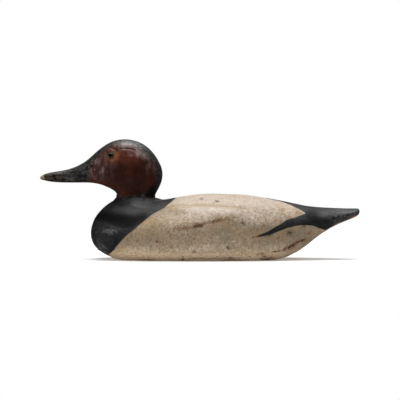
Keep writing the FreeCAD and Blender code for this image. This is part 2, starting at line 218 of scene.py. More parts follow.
def streaks(points, lines):
    """Up to its strength along each (line, width, strength), fading at its ends."""
    total = np.zeros(len(points))
    for line, width, strength in lines:
        gap, along = line_distance(points[:, [0, 2]], curve_through(line))
        broken = 0.85 + 0.25 * blobs(points, (7, 7, 3), 21)
        total = np.maximum(total, strength * bump(gap, width) * fade(along, 0.2, 0.8) * broken)
    return total


def patches(points, places, join=np.sum):
    """Soft patches, each (x, z, half its width, half its height, strength), joined in one array."""
    x, _, z = points.T
    found = [strength * bump(np.hypot((x - px) / wide, (z - pz) / high), 1)
             for px, pz, wide, high, strength in places]
    return join(found, axis=0)


# Meshes.


def read(obj):
    """Points and normals of a mesh."""
    mesh = obj.data
    points = np.empty(len(mesh.vertices) * 3, np.float32)
    mesh.vertices.foreach_get("co", points)
    normals = np.empty(len(mesh.vertices) * 3, np.float32)
    mesh.vertex_normals.foreach_get("vector", normals)
    return points.reshape(-1, 3).astype(float) / MM, normals.reshape(-1, 3).astype(float)


def write(obj, points):
    obj.data.vertices.foreach_set("co", (points * MM).astype(np.float32).ravel())
    obj.data.update()


def store(obj, name, values):
    """Keeps one number for each point under a name that a material reads."""
    layer = obj.data.attributes.new(name, "FLOAT", "POINT")
    layer.data.foreach_set("value", values.astype(np.float32))


def copy_of(node, name):
    made = bpy.data.objects.new(name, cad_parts[node].data.copy())
    bpy.context.scene.collection.objects.link(made)
    return made


def applied(obj, kind, **settings):
    """obj with one modifier applied to its mesh."""
    modifier = obj.modifiers.new(kind, kind)
    for key, value in settings.items():
        setattr(modifier, key, value)
    graph = bpy.context.evaluated_depsgraph_get()
    mesh = bpy.data.meshes.new_from_object(obj.evaluated_get(graph))
    obj.modifiers.clear()
    old = obj.data
    obj.data = mesh
    bpy.data.meshes.remove(old)
    return obj


def relaxed(obj, passes, hold=None):
    """Takes the facets out of a remeshed surface and keeps its volume. hold gives how firmly each point stays
    put, from 0 to 1."""
    points, _ = read(obj)
    ends = np.empty(len(obj.data.edges) * 2, np.int32)
    obj.data.edges.foreach_get("vertices", ends)
    a, b = ends.reshape(-1, 2).T
    many = len(points)
    count = np.bincount(ends, minlength=many)[:, None]
    free = 1.0 if hold is None else 1 - hold(points)[:, None]
    for _ in range(passes):
        for pull in (0.6, -0.62):
            sums = [np.bincount(a, points[b, i], many) + np.bincount(b, points[a, i], many) for i in range(3)]
            points = points + pull * free * (np.stack(sums, 1) / count - points)
    write(obj, points)


def remeshed(node, name, voxel, passes, hold=None, stretch=None):
    """A copy of a CAD node in an even mesh of small faces, with the facets of the CAD mesh smoothed out.
    stretch moves the copy's points first."""
    made = copy_of(node, name)
    if stretch:
        points, _ = read(made)
        write(made, stretch(points))
    applied(made, "REMESH", mode="VOXEL", voxel_size=voxel * MM, use_smooth_shade=True)
    relaxed(made, passes, hold)
    return made


def slab(low, high):
    """A block that holds everything between two heights."""
    far = 700
    bpy.ops.mesh.primitive_cube_add(size=1, location=(0, 0, (low + high) / 2 * MM))
    block = bpy.context.object
    block.scale = (far * MM, far * MM, (high - low) * MM)
    bpy.context.view_layer.update()
    return block


def trimmed(obj, low, high):
    """Cuts obj off flat at two heights, closed there."""
    block = slab(low, high)
    applied(obj, "BOOLEAN", operation="INTERSECT", object=block, solver="MANIFOLD")
    bpy.data.objects.remove(block)


def carve(obj, height):
    """Moves each point of obj out along its normal by what height gives, in millimetres."""
    points, normals = read(obj)
    write(obj, points + normals * height(points)[:, None])


def worn_wood(points, deep=1.0):
    """How far an old carved surface stands proud of its true form: flats of the spokeshave, and ripples."""
    flats = blobs(points, (46, 30, 15), 3) * 0.42 + blobs(points, (24, 16, 9), 5) * 0.2
    return deep * (flats + rough(points, (9, 6, 5), 8, 3) * 0.07)


# Materials. A Coat builds one material; each call gives a socket that the next can use.


def srgb(red, green, blue):
    """A colour given as 0 to 255 on a screen, as Blender's shaders take it."""
    shares = [c / 255 for c in (red, green, blue)]
    return tuple(c / 12.92 if c < 0.04045 else ((c + 0.055) / 1.055) ** 2.4 for c in shares) + (1,)


# The body's cream paint: its tones, a painted ridge highlight, what lies in it, and what has gone through it.
CREAM = srgb(222, 204, 186)
CREAM_SHADE = srgb(208, 190, 172)
CREAM_MOTTLE = srgb(192, 168, 138)
CREAM_GRAIN = srgb(188, 160, 124)
CREAM_DARK_SPECK = srgb(154, 132, 106)
CREAM_PALE_SPECK = srgb(238, 224, 208)
CREAM_FINE_SPECK = srgb(136, 116, 94)
# Lighter cream painted along the ridge under the wing groove, as a highlight.
RIDGE_HIGHLIGHT = srgb(240, 228, 214)
GROOVE_CREAM = srgb(184, 160, 122)
BROWN_SOIL = srgb(136, 114, 84)
GREEN_SOIL = srgb(124, 110, 84)
SOIL_DOT = srgb(84, 72, 56)
OCHRE = srgb(202, 176, 134)
DARK_OCHRE = srgb(168, 142, 104)
CRAZING = srgb(120, 98, 76)
PIT_EDGE = srgb(112, 92, 72)
PIT = srgb(58, 46, 38)

# The body's black paint, its painted highlights, glints and shade, and the marks that cross both.
BODY_BLACK = srgb(36, 36, 37)
BLACK_MOTTLE = srgb(48, 47, 48)
BLACK_SPECK = srgb(16, 16, 17)
# Wear and painted highlights grey the black; light specks are painted glints; near black is painted shade.
SCUFF_AND_HIGHLIGHT = srgb(98, 96, 98)
BLACK_GLINT = srgb(140, 138, 140)
BLACK_SHADE = srgb(14, 14, 15)
PAINT_RIM = srgb(116, 84, 58)
RUST = srgb(122, 86, 62)
DEEP_RUST = srgb(80, 50, 36)
CHECK = srgb(140, 94, 56)
DEEP_CHECK = srgb(62, 40, 24)
DARK_WOOD = srgb(112, 74, 48)
WOOD = srgb(156, 116, 80)
SCAR = srgb(12, 12, 13)

# The head's chestnut paint, its black paint, the marks that cross both, and painted glints, highlight and
# shade.
CHESTNUT = srgb(62, 25, 12)
CHESTNUT_SHADE = srgb(46, 17, 7)
CHESTNUT_MOTTLE = srgb(40, 15, 8)
CHESTNUT_STROKE = srgb(80, 42, 28)
ROSE = srgb(92, 45, 33)
DUST = srgb(138, 116, 114)
DUST_SHADE = srgb(70, 48, 44)
ORANGE = srgb(132, 78, 46)
SCRATCH = srgb(92, 54, 38)
LID = srgb(120, 96, 74)
BILL_BLACK = srgb(22, 21, 21)
BILL_MOTTLE = srgb(54, 52, 50)
BILL_PALE_SPECK = srgb(98, 95, 88)
BILL_DARK_SPECK = srgb(11, 10, 10)
# Light specks painted on the bill as glints.
BILL_GLINT = srgb(128, 122, 110)
# Near black painted as shade at the nape, under the head's overhang.
NAPE_SHADE = srgb(12, 9, 8)
# Light grey haze on the crown, which also paints its highlight.
HAZE_HIGHLIGHT_GREY = srgb(156, 142, 136)
BILL_STAIN = srgb(74, 50, 46)
CHIP = srgb(178, 166, 132)
CHIP_SHADE = srgb(100, 86, 62)
MOUTH_BROWN = srgb(40, 25, 18)
# Near black painted as shade in the nostrils and the brow crease.
HOLE_SHADE = srgb(8, 7, 7)


class Coat:
    def __init__(self, name):
        self.material = bpy.data.materials.new(name)
        self.material.use_nodes = True
        self.tree = self.material.node_tree
        self.shader = self.tree.nodes["Principled BSDF"]
        self.place = self.tree.nodes.new("ShaderNodeTexCoord").outputs["Object"]

    def feed(self, socket, value):
        if isinstance(value, bpy.types.NodeSocket):
            self.tree.links.new(value, socket)
        else:
            socket.default_value = value

    def set(self, **values):
        """Feeds the shader's sockets, named with _ for a space."""
        for name, value in values.items():
            self.feed(self.shader.inputs[name.replace("_", " ")], value)

    def number(self, name):
        """What store() kept under a name."""
        node = self.tree.nodes.new("ShaderNodeAttribute")
        node.attribute_name = name
        return node.outputs["Fac"]

    def math(self, operation, a, b=0.0):
        node = self.tree.nodes.new("ShaderNodeMath")
        node.operation = operation
        self.feed(node.inputs[0], a)
        self.feed(node.inputs[1], b)
        return node.outputs[0]

    def plus(self, a, b):
        return self.math("ADD", a, b)

    def times(self, a, b):
        return self.math("MULTIPLY", a, b)

    def ease(self, value, low, high):
        node = self.tree.nodes.new("ShaderNodeMapRange")
        node.interpolation_type = "SMOOTHSTEP"
        self.feed(node.inputs["Value"], value)
        node.inputs["From Min"].default_value = low
        node.inputs["From Max"].default_value = high
        return node.outputs["Result"]

    def mix(self, share, a, b):
        node = self.tree.nodes.new("ShaderNodeMix")
        node.data_type = "RGBA"
        self.feed(node.inputs["Factor"], share)
        self.feed(node.inputs["A"], a)
        self.feed(node.inputs["B"], b)
        return node.outputs["Result"]

    def over(self, base, colour, share, strength=1.0):
        """A colour laid over another by a share of 0 to 1, times a strength."""
        return self.mix(self.times(share, strength), base, colour)

    def ragged(self, value, noise, amount):
        """value moved up and down by noise of 0 to 1, which breaks up the edges of what it makes."""
        return self.plus(value, self.times(self.math("SUBTRACT", noise, 0.5), amount))

    def within(self, name, value, low=0.02, high=0.2):
        """value where the number under a name is over 0, so that noise added to a mark stays inside it."""
        return self.times(value, self.ease(self.number(name), low, high))

    def stretched(self, by):
        node = self.tree.nodes.new("ShaderNodeMapping")
        node.inputs["Scale"].default_value = by
        self.tree.links.new(self.place, node.inputs["Vector"])
        return node.outputs["Vector"]

    def noise(self, size, detail=3.0, roughness=0.55, stretch=None):
        """Noise from 0 to 1 with its largest blobs about size mm across."""
        node = self.tree.nodes.new("ShaderNodeTexNoise")
        self.feed(node.inputs["Vector"], self.stretched(stretch) if stretch else self.place)
        node.inputs["Scale"].default_value = 1 / (size * MM)
        node.inputs["Detail"].default_value = detail
        node.inputs["Roughness"].default_value = roughness
        return node.outputs["Fac"]

    def cracks(self, size, width):
        """1 along the edges of cells about size mm across, and 0 further away than width, a share of size."""
        node = self.tree.nodes.new("ShaderNodeTexVoronoi")
        node.feature = "DISTANCE_TO_EDGE"
        wander = self.tree.nodes.new("ShaderNodeTexNoise")
        wander.inputs["Scale"].default_value = 2.2 / (size * MM)
        self.tree.links.new(self.place, wander.inputs["Vector"])
        shift = self.tree.nodes.new("ShaderNodeVectorMath")
        shift.operation = "MULTIPLY_ADD"
        self.tree.links.new(wander.outputs["Color"], shift.inputs[0])
        shift.inputs[1].default_value = (size * MM * 0.7,) * 3
        self.tree.links.new(self.place, shift.inputs[2])
        self.tree.links.new(shift.outputs[0], node.inputs["Vector"])
        node.inputs["Scale"].default_value = 1 / (size * MM)
        return self.ease(node.outputs["Distance"], width, 0.0)

    def relief(self, height, depth):
        """Bumps up to depth mm high from a height of 0 to 1."""
        node = self.tree.nodes.new("ShaderNodeBump")
        node.inputs["Distance"].default_value = depth * MM
        self.feed(node.inputs["Height"], height)
        self.feed(self.shader.inputs["Normal"], node.outputs["Normal"])


def body_coat():
    """Cream and black paint, dirtied, chipped and worn, with painted highlights, glints and shade, on the
    shell and the board.
    """
    coat = Coat("aged_body_paint")
    broad = coat.noise(38, 3, 0.5)
    grain = coat.noise(13, 4, 0.6, stretch=(0.2, 1, 1))
    mottle = coat.noise(8, 5, 0.62)
    speck = coat.noise(2.8, 4, 0.7)
    fine = coat.noise(1.1, 2, 0.6)
    tint = coat.noise(20, 2, 0.5)

    cream = coat.mix(coat.ease(broad, 0.35, 0.68), CREAM_SHADE, CREAM)
    cream = coat.over(cream, CREAM_MOTTLE, coat.ease(mottle, 0.5, 0.7), 0.5)
    cream = coat.over(cream, CREAM_GRAIN, coat.ease(grain, 0.52, 0.7), 0.35)
    cream = coat.over(cream, CREAM_DARK_SPECK, coat.ease(speck, 0.53, 0.67), 0.54)
    cream = coat.over(cream, CREAM_PALE_SPECK, coat.ease(speck, 0.47, 0.35), 0.58)
    cream = coat.over(cream, CREAM_FINE_SPECK, coat.ease(fine, 0.58, 0.72), 0.4)
    # A painted highlight along the ridge under the wing groove, broken up by specks.
    ridge_highlight = coat.ragged(coat.number("ridge"), speck, 1.6)
    cream = coat.over(cream, RIDGE_HIGHLIGHT, coat.ease(ridge_highlight, 0.2, 1.0), 0.6)
    cream = coat.over(cream, GROOVE_CREAM, coat.number("groove"), 0.65)

    # Soiling and painted shade darken the cream, most in a band low on the side.
    dirt_and_shade = coat.number("dirt_and_shade")
    grime_and_shade = coat.ragged(coat.ragged(dirt_and_shade, mottle, 0.7), speck, 0.9)
    soil = coat.mix(coat.ease(tint, 0.42, 0.62), BROWN_SOIL, GREEN_SOIL)
    cream = coat.over(cream, soil, coat.ease(grime_and_shade, 0.0, 0.9), 0.88)
    dots = coat.ease(coat.plus(speck, coat.times(dirt_and_shade, 0.08)), 0.6, 0.72)
    cream = coat.over(cream, SOIL_DOT, coat.times(dots, coat.ease(dirt_and_shade, 0.1, 0.7)), 0.5)
    ochre = coat.mix(coat.ease(speck, 0.4, 0.6), OCHRE, DARK_OCHRE)
    cream = coat.over(cream, ochre, coat.number("tan"), 0.85)
    crazing = coat.times(coat.cracks(6, 0.05), coat.ease(broad, 0.42, 0.6))
    cream = coat.over(cream, CRAZING, crazing, 0.22)
    pit = coat.ragged(coat.number("pit"), speck, 0.9)
    cream = coat.over(cream, PIT_EDGE, coat.ease(pit, 0.1, 0.6), 0.55)
    cream = coat.over(cream, PIT, coat.ease(pit, 0.62, 1.0), 0.8)

    # The black greyed by wear and painted highlights, and near black where shade is painted.
    wear_and_light = coat.number("wear_and_painted_light")
    black = coat.mix(coat.ease(mottle, 0.4, 0.7), BODY_BLACK, BLACK_MOTTLE)
    black = coat.over(black, BLACK_SPECK, coat.ease(speck, 0.54, 0.4), 0.6)
    black = coat.over(black, SCUFF_AND_HIGHLIGHT, coat.ease(coat.ragged(wear_and_light, speck, 3.0), 0.3, 1.2), 0.85)
    # Light specks painted as glints where the black is greyed.
    glints = coat.times(coat.ease(fine, 0.54, 0.68), coat.ease(wear_and_light, 0.1, 0.9))
    black = coat.over(black, BLACK_GLINT, glints, 0.65)
    # Painted shade: the black darkened, and its shine lowered, where the number is below 0.
    dull_shade = coat.ease(wear_and_light, 0.0, -0.8)
    black = coat.over(black, BLACK_SHADE, dull_shade, 0.9)

    is_black = coat.ease(coat.ragged(coat.number("dark"), speck, 1.4), 0.35, -0.35)
    paint = coat.mix(is_black, cream, black)
    rim = coat.math("ABSOLUTE", coat.math("SUBTRACT", coat.number("breast"), 0.7))
    rim = coat.times(coat.ease(rim, 1.4, 0.2), coat.ease(mottle, 0.42, 0.6))
    paint = coat.over(paint, PAINT_RIM, rim, 0.5)

    rust = coat.ragged(coat.number("rust"), speck, 1.7)
    paint = coat.over(paint, RUST, coat.within("rust", coat.ease(rust, 0.05, 0.9)), 0.72)
    paint = coat.over(paint, DEEP_RUST, coat.ease(rust, 0.8, 1.25), 0.85)
    check = coat.ragged(coat.number("check"), speck, 2.0)
    paint = coat.over(paint, CHECK, coat.within("check", coat.ease(check, 0.1, 0.6)), 0.75)
    paint = coat.over(paint, DEEP_CHECK, coat.ease(check, 0.68, 1.05), 0.9)
    bare = coat.ragged(coat.number("bare"), mottle, 1.1)
    wood = coat.mix(coat.ease(grain, 0.4, 0.65), DARK_WOOD, WOOD)
    paint = coat.over(paint, wood, coat.ease(bare, 0.4, 0.7), 0.9)
    scar = coat.times(coat.number("scar"), coat.ease(speck, 0.36, 0.52))
    paint = coat.over(paint, SCAR, scar, 0.85)

    gloss = coat.plus(coat.plus(0.46, coat.times(mottle, 0.2)), coat.times(is_black, -0.16))
    sheen = coat.plus(0.45, coat.times(coat.times(dull_shade, is_black), -0.36))
    coat.set(Base_Color=paint, Roughness=coat.plus(gloss, coat.times(dirt_and_shade, 0.1)), Specular_IOR_Level=sheen)
    height = coat.plus(speck, coat.times(fine, 0.5))
    height = coat.plus(coat.plus(height, coat.times(mottle, 0.9)), coat.times(grain, 0.5))
    coat.relief(coat.math("SUBTRACT", height, coat.times(crazing, 0.3)), 0.85)
    return coat.material


def head_coat():
    """Chestnut face, black bill, crown and nape, with wear, and painted highlights, glints and shade."""
    coat = Coat("aged_head_paint")
    broad = coat.noise(22, 3, 0.5)
    mottle = coat.noise(6, 5, 0.62)
    strokes = coat.noise(5, 4, 0.6, stretch=(1, 1, 0.3))
    speck = coat.noise(2.2, 4, 0.7)
    fine = coat.noise(0.9, 2, 0.6)

    red = coat.mix(coat.ease(broad, 0.35, 0.65), CHESTNUT_SHADE, CHESTNUT)
    red = coat.over(red, CHESTNUT_MOTTLE, coat.ease(mottle, 0.5, 0.7), 0.5)
    red = coat.over(red, CHESTNUT_STROKE, coat.ease(strokes, 0.55, 0.7), 0.3)
    red = coat.over(red, ROSE, coat.number("rosy"), coat.ease(mottle, 0.3, 0.55))
    dust = coat.mix(coat.ease(strokes, 0.42, 0.6), DUST_SHADE, DUST)
    dustiness = coat.plus(0.6, coat.times(coat.ease(speck, 0.4, 0.6), 0.55))
    red = coat.over(red, dust, coat.number("dusty"), dustiness)
    orange = coat.within("orange", coat.ragged(coat.ragged(coat.number("orange"), mottle, 1.6), speck, 0.8))
    red = coat.over(red, ORANGE, coat.ease(orange, 0.05, 0.95), 0.9)
    red = coat.over(red, SCRATCH, coat.number("scratch"))
    red = coat.over(red, LID, coat.number("lid"))

    black = coat.mix(coat.ease(mottle, 0.42, 0.64), BILL_BLACK, BILL_MOTTLE)
    black = coat.over(black, BILL_PALE_SPECK, coat.ease(speck, 0.53, 0.63), 0.75)
    black = coat.over(black, BILL_DARK_SPECK, coat.ease(speck, 0.49, 0.4), 0.9)
    # Light specks painted on the bill as glints.
    black = coat.over(black, BILL_GLINT, coat.ease(fine, 0.58, 0.7), coat.ease(mottle, 0.42, 0.58))
    # Near black painted as shade at the nape, under the head's overhang.
    black = coat.over(black, NAPE_SHADE, coat.number("nape_shade"))

    is_black = coat.ease(coat.ragged(coat.number("face"), mottle, 4), -1.8, 1.4)
    paint = coat.mix(is_black, red, black)
    # Haze on the crown, which also paints its highlight.
    haze_and_highlight = coat.ragged(coat.ragged(coat.number("haze_and_highlight"), strokes, 1.0), speck, 1.2)
    haze_and_highlight = coat.within("haze_and_highlight", haze_and_highlight, 0.05, 0.25)
    paint = coat.over(paint, HAZE_HIGHLIGHT_GREY, coat.ease(haze_and_highlight, 0.1, 1.0), 0.85)
    stain = coat.ragged(coat.number("stain"), speck, 1.1)
    paint = coat.over(paint, BILL_STAIN, coat.ease(stain, 0.4, 0.9), 0.8)
    chips = coat.ragged(coat.number("bare"), speck, 1.4)
    wood = coat.mix(coat.ease(mottle, 0.4, 0.6), CHIP_SHADE, CHIP)
    paint = coat.over(paint, wood, coat.ease(chips, 0.5, 0.75))
    paint = coat.over(paint, MOUTH_BROWN, coat.number("mouth"), 0.75)
    # Painted shade in the nostrils and the brow crease.
    paint = coat.over(paint, HOLE_SHADE, coat.ease(coat.number("pit"), 0.2, 0.7), 0.95)

    sheen = coat.plus(0.5, coat.times(coat.number("nape_shade"), -0.42))
    coat.set(Base_Color=paint, Roughness=coat.plus(0.2, coat.times(mottle, 0.25)), Specular_IOR_Level=sheen)
    height = coat.plus(speck, coat.plus(coat.times(fine, 0.4), coat.times(strokes, 0.6)))
    coat.relief(coat.plus(height, coat.times(mottle, 0.6)), 0.5)
    return coat.material


def metal_coat(name, clean, stained, deep, shine, metallic):
    """Bare metal with stains that dull it. shine is its roughness where clean."""
    coat = Coat(name)
    broad = coat.noise(7, 4, 0.6)
    fine = coat.noise(1.1, 4, 0.65)
    stain = coat.ease(coat.plus(broad, coat.times(fine, 0.5)), 0.62, 0.9)
    colour = coat.mix(stain, coat.mix(fine, clean, deep), coat.mix(fine, stained, deep))
    rough_value = coat.plus(coat.times(stain, 0.4), coat.plus(shine, coat.times(fine, 0.2)))
    coat.set(Base_Color=colour, Metallic=metallic, Roughness=rough_value)
    coat.relief(coat.plus(coat.times(fine, 0.6), broad), 0.25)
    return coat.material


def plain_coat(name, light, dark, size, roughness, depth, stretch=None):
    """Two tones in blobs or grain of one size: bare wood and enamel."""
    coat = Coat(name)
    grain = coat.noise(size, 5, 0.62, stretch=stretch)
    fine = coat.noise(size / 6, 3, 0.6, stretch=stretch)
    share = coat.plus(coat.times(grain, 0.7), coat.times(fine, 0.3))
    colour = coat.mix(coat.ease(share, 0.4, 0.6), dark, light)
    coat.set(Base_Color=colour, Roughness=coat.plus(roughness, coat.times(fine, 0.15)))
    coat.relief(share, depth)
    return coat.material


def glass_coat():
    """Clear glass, a little dulled by handling."""
    coat = Coat("worn_eye_glass")
    haze = coat.noise(1.5, 3, 0.6)
    coat.set(Base_Color=srgb(250, 248, 238), Roughness=coat.plus(0.03, coat.times(haze, 0.12)))
    coat.set(IOR=1.52, Transmission_Weight=1.0)
    return coat.material


# Pieces of the body.

# Pits: (x, z, radius).
NEAR_PITS = [
    (2.6, 80.2, 1.6), (22.3, 77.4, 1.8), (55.4, 49.6, 2.2), (36.6, 17.6, 2.6), (-6.9, 12.9, 2.0),
    (-54.4, 25.8, 2.2), (89.6, 34, 2.4), (116.4, 36.4, 4.6), (135.6, 45, 2.4), (101.8, 29.8, 1.4),
    (-22, 2.5, 1.6), (84, 6, 1.6), (40, 4.5, 1.8), (-88, 32, 1.2), (-18.8, 57, 1.0), (-18.6, 62.5, 0.9),
]
FAR_PITS = [
    (12, 74, 1.8), (-30, 66, 1.5), (48, 30, 2.2), (-62, 20, 2), (84, 62, 1.6), (104, 26, 2.2), (-5, 6, 2.4),
    (30, 9, 1.7), (-100, 40, 1.6),
]

# Stained spots: (x, z, radius).
NEAR_STAINS = [(-35, 69, 5), (108, 65, 4), (104, 70, 3), (-70, 46, 4), (-96, 14, 6), (128, 63, 4)]
FAR_STAINS = [(-20, 60, 4), (70, 66, 5), (118, 58, 4)]

# Rust, checks in the wood, and scars: (line, width, strength).
NEAR_RUST = [
    ([(-38, 42.2), (-23.5, 42.8), (-7.8, 44.3), (3, 47.4)], 3.6, 0.8),
    ([(-10, 44.6), (-3, 46), (5, 48.2)], 3.5, 1.5),
    ([(1, 48), (9, 49.6), (16, 51)], 2.0, 0.95),
    ([(11, 50.6), (20, 52.4), (31, 54.6)], 2.6, 1.15),
    ([(22, 53), (36, 55.4), (52, 57.4)], 3.6, 0.62),
    ([(-26, 4.2), (10, 3.6), (40, 4.2), (64, 4.6)], 1.2, 0.8),
    ([(74, 3), (84, 2.8), (98, 3.4)], 1.5, 1.0),
    ([(100, 67.4), (107, 66), (114, 66)], 2.6, 0.55),
    ([(122, 62), (129, 62.6), (134, 61.6)], 2.2, 0.5),
]
FAR_RUST = [([(10, 36), (24, 38.4), (40, 43)], 2.6, 1.0), ([(-70, 54), (-58, 52.6), (-44, 49)], 2.2, 0.9)]
LEAF_TIP_CHECK = ([(62.5, 29.6), (69.5, 31.2), (78, 33.8)], 1.1, 1.0)
NEAR_CHECKS = [
    ([(104, 13.4), (112, 15.8), (118.4, 18.9), (125, 22.6), (131, 25.6), (138, 27.2), (142, 30.4)], 2.5, 1.3),
    ([(93, 11), (101.6, 13.3), (109, 14.6)], 1.3, 0.9),
    ([(112, 13.4), (119, 15.6), (127, 19)], 1.7, 0.75),
    ([(138.6, 33.8), (142, 35.6), (147.4, 39)], 2.0, 0.75),
    ([(72, 9.8), (77, 9), (84, 9.8)], 1.2, 0.75),
    LEAF_TIP_CHECK,
]
FAR_CHECKS = [
    ([(60, 17), (74, 18.4), (90, 22.4), (101, 24)], 1.4, 1.0),
    ([(118, 32), (134, 35)], 1.5, 1.0),
    LEAF_TIP_CHECK,
]
NEAR_SCARS = [
    ([(-89, 66.4), (-84, 68), (-79, 67.4), (-72, 66.2)], 0.8, 0.9),
    ([(-127, 56), (-122.6, 60), (-115, 61.6)], 0.8, 0.8),
    ([(-113, 73), (-109, 77)], 0.7, 0.7),
    ([(73, 32.6), (80, 34.6), (88, 37.4)], 1.1, 1.1),
    ([(-100, 56), (-93, 54.4), (-87, 54.8)], 0.8, 0.8),
    ([(-106, 62), (-97, 63)], 0.7, 0.6),
]

# How deep each kind of mark goes.
MARK_DEPTHS = {"pit": 0.6, "rust": 0.25, "check": 0.3, "scar": 0.5}

# Patches: (x, z, half its width, half its height, strength). The first darken the cream as soiling and
# painted shade, the second are painted highlights on the black paint, and the third is painted shade that
# darkens it and takes away its shine.
SMUDGES = [
    (34, 52, 20.8, 8, 0.3), (118, 36.5, 16.8, 7, 0.4), (136, 42, 10.8, 6, 0.3), (78, 69, 21.6, 9, 0.2),
    (-30, 65, 16, 5, 0.4), (46, 67, 15, 5, 0.14), (124, 37, 13, 5, 0.3), (56, 12, 27, 6, 0.22),
    (-50, 18, 27.2, 8, 0.22), (96, 34, 15, 5, 0.1),
]
PAINTED_HIGHLIGHTS = [(-79, 76, 17.1, 9, 1.15), (-116, 39, 15.6, 6.5, 1.0)]
PAINTED_SHADE_PATCHES = [(-101, 52, 12, 10, 0.9), (146, 59, 13.5, 9, 0.8)]


def body_marks(points):
    """The pits, streaks and checks in the wood and paint of the body, by name."""
    return {
        "pit": either_side(points, spots(points, NEAR_PITS), spots(points, FAR_PITS)),
        "rust": either_side(points, streaks(points, NEAR_RUST), streaks(points, FAR_RUST)),
        "check": either_side(points, streaks(points, NEAR_CHECKS), streaks(points, FAR_CHECKS)),
        "scar": either_side(points, streaks(points, NEAR_SCARS), 0),
    }


def wing_ridge(points):
    """The ridge that the wing groove throws up below it, as 1, and the groove itself, as 1: two arrays."""
    above, along = beside(points, WING_GROOVE)
    middle = ease(along, 0.2, 0.5) * ease(along, 0.95, 0.62)
    length = fade(along, 0.15, 0.8)
    return (0.35 * length + 0.65 * middle) * bump(above + 6, 3.8), length * bump(above, 1.7)


def body_form(points):
    """Carving and damage that the plain form doesn't have, as a height over it."""
    x, y, z = points.T
    off_middle = ease(np.abs(y), 12, 40)
    ridge, groove = wing_ridge(points)
    height = worn_wood(points)
    height -= 2.6 * off_middle * bump(line_gap(points, CHEST_HOLLOW), 8)
    height += 1.6 * off_middle * bump(line_gap(points, CHEST_SWELL), 8)
    height -= 0.8 * bump(x + 50, 13) * ease(z, 70, 78)
    height -= 0.8 * ease(x, -108, -122) * bump(z - 9, 10)
    height += 1.5 * ridge - 1.0 * groove
    for name, values in body_marks(points).items():
        height -= MARK_DEPTHS[name] * values
    return height


def breast_edge(points, normals):
    """Distance from the edge of the black breast, below 0 on it."""
    return paint_edge(points, normals, np.vstack([curve_through(BREAST_EDGE), AHEAD]))


def rump_edge(points, normals):
    """Distance from the edge of the black rump and tail, below 0 on them, ragged where the leaf runs out."""
    x, y, z = points.T
    outline = np.vstack([RUMP_INSIDE, curve_through(LEAF_FOOT), curve_through(RUMP_FOOT), BEHIND])
    rump = paint_edge(points, normals, outline)
    fold = np.stack([np.ones(len(y)), np.where(y < 0, -1, 1), np.ones(len(y))], 1)
    outline = np.vstack([curve_through(RUMP_TOP), BEHIND_FROM_ABOVE])
    on_top = paint_edge(points * fold, normals * fold, outline, axes=(0, 1))
    rump = np.where(z > RUMP_TOP_FROM, np.minimum(rump, on_top), rump)
    return rump + ease(x, 86, 68) * (0.1 + 0.6 * blobs(points, (7, 3, 2), 31))


def dirt_and_shade_on(points, breast):
    """Soiling and painted shade in a band along the side, in smudges, on the rump and behind the breast."""
    x, _, z = points.T
    band = np.interp(z, *np.transpose(GRIME_AND_SHADE)) * ease(x, -140, -84)
    band = band * (1 - 0.35 * ease(x, 80, 108)) * ease(x, 190, 150)
    rump = 0.3 * ease(x, 62, 118) * ease(z, 78, 56)
    behind_breast = 0.42 * bump(breast, 14) * ease(z, 86, 66)
    uneven = 0.94 + 0.16 * rough(points, (34, 20, 10), 41)
    return band * uneven + patches(points, SMUDGES) + rump + behind_breast


def yellowed(points):
    """Where the cream has gone tan: low down, behind the breast and in stains."""
    x, _, z = points.T
    low = ease(z, 22, 7) * (0.7 + 0.22 * blobs(points, (25, 25, 6), 43))
    front = 0.5 * ease(x, -10, -60) * bump(z - 52, 13)
    stains = either_side(points, spots(points, NEAR_STAINS), spots(points, FAR_STAINS))
    return np.max([low, front, 0.8 * stains], axis=0)


def wear_and_painted_light(points):
    """Wear and painted highlights greying the black paint, or below 0, painted shade darkening it."""
    x, _, z = points.T
    low_front = 0.8 * ease(x, -108, -126) * ease(z, 36, 26)
    tail = 0.55 * ease(x, 156, 180)
    uneven = 0.9 + 0.25 * blobs(points, (12, 8, 5), 49)
    # Painted shade in the chest hollow and low on the breast.
    dull_shade = 0.7 * bump(line_gap(points, CHEST_HOLLOW), 9) + 0.4 * ease(x, -100, -112) * bump(z - 25, 7)
    return (patches(points, PAINTED_HIGHLIGHTS) + low_front + tail) * uneven - dull_shade - patches(points, PAINTED_SHADE_PATCHES)


def worn_bare(points, normals):
    """Bare wood along the foot of the sides and under the tail."""
    x, _, z = points.T
    foot = bump(np.maximum(z - 0.6, 0), 2.2) * (np.hypot(normals[:, 0], normals[:, 1]) > 0.25)
    foot = foot * (0.55 + 0.5 * blobs(points, (16, 16, 9), 45))
    keel = bump(line_gap(points, TAIL_KEEL), 2.6) * ease(x, 146, 172)
    return np.maximum(foot, keel * (0.6 + 0.5 * blobs(points, (9, 6, 6), 47)))


def dress_body(piece):
    """What the paint on the body needs to know of each point."""
    points, normals = read(piece)
    breast = breast_edge(points, normals)
    ridge, groove = wing_ridge(points)
    wander = 0.35 * blobs(points, 6, 33)
    store(piece, "breast", breast + wander)
    store(piece, "dark", np.minimum(breast, rump_edge(points, normals)) + wander)
    # Soiling and painted shade on the cream.
    store(piece, "dirt_and_shade", dirt_and_shade_on(points, breast))
    store(piece, "tan", yellowed(points))
    # Wear and painted highlights on the black paint, and painted shade below 0.
    store(piece, "wear_and_painted_light", wear_and_painted_light(points))
    # The ridge's place, where a highlight is painted on the cream.
    store(piece, "ridge", ridge)
    store(piece, "groove", groove)
    store(piece, "bare", worn_bare(points, normals))
    for name, values in body_marks(points).items():
        store(piece, name, values)


# How far the hull's ends run along X for each mm up, at places along X.
HULL_LEAN = [(-126, -1.6), (-100, 0), (100, 0), (134, 1.45)]

